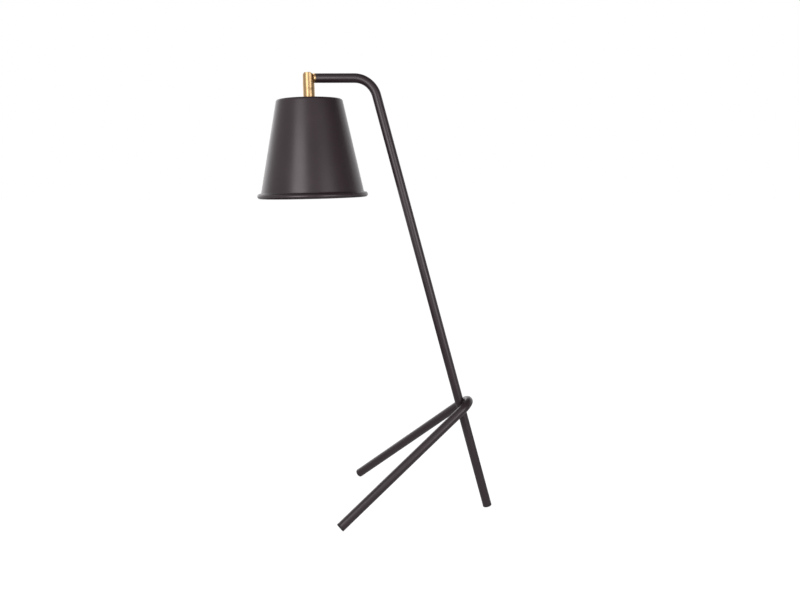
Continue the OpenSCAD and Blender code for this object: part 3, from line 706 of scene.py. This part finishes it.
# Lampholder: a bell cap, and a sleeve with grip flutes cut by a raised cosine round its outside
holder = {"radius": 13.9, "neck": 7.8, "wall": 1.7, "top": 33.7, "hole": 5, "neckEdge": 0.5,
          "bellFrom": 39.7, "bell": 10, "capFloor": 40.7, "capEdge": 0.25, "joint": 55.5,
          "spigotGap": 0.05, "mouth": 85.7, "throat": 9.4, "block": 50.5, "ledge": (56.5, 59.0),
          "seat": 10.62, "ring": 7.72, "sleeveEdge": 0.45, "flutes": 32, "fluteDepth": 0.35,
          "fluteFrom": 60, "fluteTo": 81, "fluteFade": 1.5, "outside": 13.2}
jointH, capHole, capR = -holder["joint"], holder["hole"], holder["radius"]
swell = np.linspace(0, np.pi / 2, 16)
outerBell = np.stack([holder["neck"] + (capR - holder["neck"]) * np.sin(swell),
                      -holder["bellFrom"] - holder["bell"] * (1 - np.cos(swell))], -1)
innerBell = outerBell[::-1] - (holder["wall"], holder["wall"])
neckLine = softened([(capHole, -holder["top"]), (holder["neck"], -holder["top"]), outerBell[0]],
                    holder["neckEdge"])[:8]  # the hole's edge and the neck's
capLine = np.concatenate([
    neckLine, outerBell,
    [(capR, holder["capEdge"] + jointH), (capR - holder["capEdge"], jointH),
     (capR - holder["wall"], jointH)],
    innerBell, [(holder["neck"] - holder["wall"], -holder["capFloor"]), (capHole, -holder["capFloor"])]])
addPiece("holderCap", [loop(turned(capLine, atHead, 128))], "head", phenolic, ["lampholder_cap"])


def fluted(r, z, angle):
    fadeIn = np.clip((-z - holder["fluteFrom"]) / holder["fluteFade"], 0, 1)
    fadeOut = np.clip((holder["fluteTo"] + z) / holder["fluteFade"], 0, 1)
    flute = (0.5 + 0.5 * np.cos(holder["flutes"] * angle)) ** 2
    return r - (r > holder["outside"]) * holder["fluteDepth"] * fadeIn * fadeOut * flute


spigotR = holder["radius"] - holder["wall"] - holder["spigotGap"]
sleeve = softened([(holder["seat"], -holder["block"]), (spigotR, -holder["block"]), (spigotR, jointH),
                   (capR, jointH), (capR, -holder["mouth"]),
                   (holder["throat"], -holder["mouth"]), (holder["throat"], -holder["ledge"][1]),
                   (holder["ring"], -holder["ledge"][1]), (holder["ring"], -holder["ledge"][0]),
                   (holder["seat"], -holder["ledge"][0])], holder["sleeveEdge"])
addPiece("holderSleeve", [loop(turned(refined(sleeve, 0.5), atHead, 256, fluted))], "head", phenolic,
         ["lampholder_body"])

# Screw shell: rolled sheet, whose thread is a cosine that climbs one pitch in each turn
shell = {"top": 56.5, "mouth": 80.5, "neckTo": 60.1, "neck": 6.45, "bore": 7.0, "sheet": 0.3, "lip": 5,
         "floor": 0.5, "flareFrom": 0.2, "flareTo": 0.4, "edge": 0.25, "pitch": 2.82, "depth": 0.17,
         "threadFrom": 61, "threadTo": 79.8, "threadFade": 0.8}


def threaded(r, z, angle):
    fadeIn = np.clip((-z - shell["threadFrom"]) / shell["threadFade"], 0, 1)
    fadeOut = np.clip((shell["threadTo"] + z) / shell["threadFade"], 0, 1)
    return r + fadeIn * fadeOut * shell["depth"] * (1 + np.cos(2 * np.pi * z / shell["pitch"] - angle))


neckR, shellR = shell["neck"], shell["bore"]
flareTop, flareBottom = -shell["neckTo"] + shell["flareFrom"], -shell["neckTo"] - shell["flareTo"]
shellFloor = -shell["top"] - shell["floor"]
shellLine = softened([(shell["lip"], -shell["top"]), (neckR + shell["sheet"], -shell["top"]),
                      (neckR + shell["sheet"], flareTop), (shellR + shell["sheet"], flareBottom),
                      (shellR + shell["sheet"], -shell["mouth"]), (shellR, -shell["mouth"]),
                      (shellR, flareBottom), (neckR, flareTop), (neckR, shellFloor),
                      (shell["lip"], shellFloor)], shell["edge"], 2)
addPiece("screwShell", [loop(turned(refined(shellLine, 0.25), atHead, 96, threaded))], "head",
         rolledBrass, ["screw_shell"])
print("lampholder made")

# Floor, backdrop and light. The floor is pale paper that is mostly plain white where the camera sees
# it, and keeps a faint shadow. Reflections see a half-lit patch round the feet and white far away, with
# a dark belt between, so the undersides of the arm and the shade stay dark.
studio = {"paper": "#EEEDEB", "palerPaper": "#F2F1EF", "grain": 2.5 * mm, "cameraWhite": 1.5,
          "cameraShare": 0.6, "glossShare": 0.95, "patch": 0.5, "patchFrom": 0.35, "patchTo": 0.6,
          "far": 0.9, "farFrom": 0.8, "farTo": 1.5, "diffuseLevel": 0.38, "halfSize": 12}
half = studio["halfSize"]
floorMesh = bpy.data.meshes.new("floor")
floorCorners = [(-half, -half, 0), (half, -half, 0), (half, half, 0), (-half, half, 0)]
floorMesh.from_pydata(floorCorners, [], [(0, 1, 2, 3)])
floor = bpy.data.objects.new("floor", floorMesh)
scene.collection.objects.link(floor)
floorPaper, tree, where = newMaterial("floorPaper")
path = addNode(tree, "ShaderNodeLightPath")
mirrored = addNode(tree, "ShaderNodeMath", operation="MAXIMUM", in0=path.outputs["Is Glossy Ray"],
                   in1=path.outputs["Is Transmission Ray"])
share = addNode(tree, "ShaderNodeMath", operation="MULTIPLY", in0=mirrored.outputs[0],
                in1=studio["glossShare"])
share = addNode(tree, "ShaderNodeMath", operation="MULTIPLY_ADD", in0=path.outputs["Is Camera Ray"],
                in1=studio["cameraShare"], in2=share.outputs[0])
grain = addNode(tree, "ShaderNodeTexNoise", Vector=where.outputs["Object"], Scale=1 / studio["grain"])
tone = addNode(tree, "ShaderNodeMix", data_type="RGBA", in0=grain.outputs[0],
               in6=linear(studio["paper"]), in7=linear(studio["palerPaper"]))
paper = addNode(tree, "ShaderNodeBsdfDiffuse", Color=tone.outputs[2])
away = addNode(tree, "ShaderNodeVectorMath", operation="LENGTH", in0=where.outputs["Object"])
patch = addNode(tree, "ShaderNodeMapRange", in0=away.outputs["Value"], in1=studio["patchFrom"],
                in2=studio["patchTo"], in3=studio["patch"], in4=0.0)
far = addNode(tree, "ShaderNodeMapRange", in0=away.outputs["Value"], in1=studio["farFrom"],
              in2=studio["farTo"], in3=0.0, in4=studio["far"])
lit = addNode(tree, "ShaderNodeMath", operation="MAXIMUM", in0=patch.outputs[0], in1=far.outputs[0])
strength = addNode(tree, "ShaderNodeMix", data_type="FLOAT", in0=path.outputs["Is Camera Ray"],
                   in2=lit.outputs[0], in3=studio["cameraWhite"])
white = addNode(tree, "ShaderNodeEmission", Color=(1, 1, 1, 1), Strength=strength.outputs[0])
finishMaterial(tree, addNode(tree, "ShaderNodeMixShader", in0=share.outputs[0], in1=paper.outputs[0],
                             in2=white.outputs[0]))
floorPaper.cycles.emission_sampling = "NONE"
floorMesh.materials.append(floorPaper)

# The room: white to the camera. In reflections it is bright low down behind the lamp, less so to the
# right, duller in front, and dark overhead.
room = {"darkWay": (0.5, 0.35, 0.79), "darkFrom": 0.2, "darkTo": 0.8, "dark": 0.12, "front": 0.68,
        "back": 1.2, "backFrom": 0.2, "backTo": 0.7, "backTop": (0.38, 0.62), "rightShare": 0.55,
        "rightReach": 0.8}
world = bpy.data.worlds.new("studio")
scene.world = world
world.use_nodes = True
world.cycles.sampling_method = "NONE"
tree = world.node_tree
tree.nodes.clear()
path = addNode(tree, "ShaderNodeLightPath")
way = addNode(tree, "ShaderNodeTexCoord")
overhead = addNode(tree, "ShaderNodeVectorMath", operation="DOT_PRODUCT", in0=way.outputs["Generated"],
                   in1=room["darkWay"])
dim = addNode(tree, "ShaderNodeMapRange", in0=overhead.outputs["Value"], in1=room["darkFrom"],
              in2=room["darkTo"], in3=room["front"], in4=room["dark"])
lineOfSight = addNode(tree, "ShaderNodeSeparateXYZ", Vector=way.outputs["Generated"])
back = addNode(tree, "ShaderNodeMapRange", in0=lineOfSight.outputs["Y"], in1=room["backFrom"],
               in2=room["backTo"], in3=0.0, in4=room["back"])
low = addNode(tree, "ShaderNodeMapRange", in0=lineOfSight.outputs["Z"], in1=room["backTop"][0],
              in2=room["backTop"][1], in3=1.0, in4=0.0)
side = addNode(tree, "ShaderNodeMapRange", in0=lineOfSight.outputs["X"], in1=0.0, in2=room["rightReach"],
               in3=1.0, in4=room["rightShare"])
back = addNode(tree, "ShaderNodeMath", operation="MULTIPLY", in0=back.outputs[0], in1=low.outputs[0])
back = addNode(tree, "ShaderNodeMath", operation="MULTIPLY", in0=back.outputs[0], in1=side.outputs[0])
reflected = addNode(tree, "ShaderNodeMath", operation="ADD", in0=dim.outputs[0], in1=back.outputs[0])
mirrored = addNode(tree, "ShaderNodeMath", operation="MAXIMUM", in0=path.outputs["Is Glossy Ray"],
                   in1=path.outputs["Is Transmission Ray"])
strength = addNode(tree, "ShaderNodeMix", data_type="FLOAT", in0=mirrored.outputs[0],
                   in2=studio["diffuseLevel"], in3=reflected.outputs[0])
strength = addNode(tree, "ShaderNodeMix", data_type="FLOAT", in0=path.outputs["Is Camera Ray"],
                   in2=strength.outputs[0], in3=1.0)
sky = addNode(tree, "ShaderNodeBackground", Color=(1, 1, 1, 1), Strength=strength.outputs[0])
addNode(tree, "ShaderNodeOutputWorld", Surface=sky.outputs[0])

# Softboxes round the shade, in degrees, metres and watts: azimuth 0 is straight in front, and positive
# is to the right
softboxes = {"left": {"azimuth": -20, "elevation": 9.8, "distance": 1.5, "size": (0.76, 0.95),
                      "power": 9.4},
             "right": {"azimuth": 44, "elevation": 5, "distance": 1.5, "size": (0.7, 0.66),
                       "power": 5.8}}
target = Vector((-0.25, 0, 0.45))
for name, box in softboxes.items():
    lampData = bpy.data.lights.new(name + "Softbox", "AREA")
    lampData.shape = "RECTANGLE"
    lampData.size, lampData.size_y = box["size"]
    lampData.energy = box["power"]
    lamp = bpy.data.objects.new(name + "Softbox", lampData)
    scene.collection.objects.link(lamp)
    azimuth, elevation = math.radians(box["azimuth"]), math.radians(box["elevation"])
    towards = Vector((math.sin(azimuth) * math.cos(elevation), -math.cos(azimuth) * math.cos(elevation),
                      math.sin(elevation)))
    lamp.location = target + box["distance"] * towards
    lamp.rotation_mode = "QUATERNION"
    lamp.rotation_quaternion = towards.to_track_quat("Z", "Y")
    lamp.visible_camera = False
print("studio made")

# CAD nodes that stay, each with its own finish
finishes = {"pole_lead": cableSheath, "head_lead": cableSheath, "arm_end_bush": zincPlate,
            "friction_washer": zincPlate, "cap_lock_screw": zincPlate, "terminal_screws": zincPlate,
            "threaded_nipple": zincPlate, "centre_contact": rolledBrass, "contact_block": steatite}
for node, material in finishes.items():
    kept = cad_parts[node].data
    kept.materials.clear()
    kept.materials.append(material)
print("CAD nodes finished")
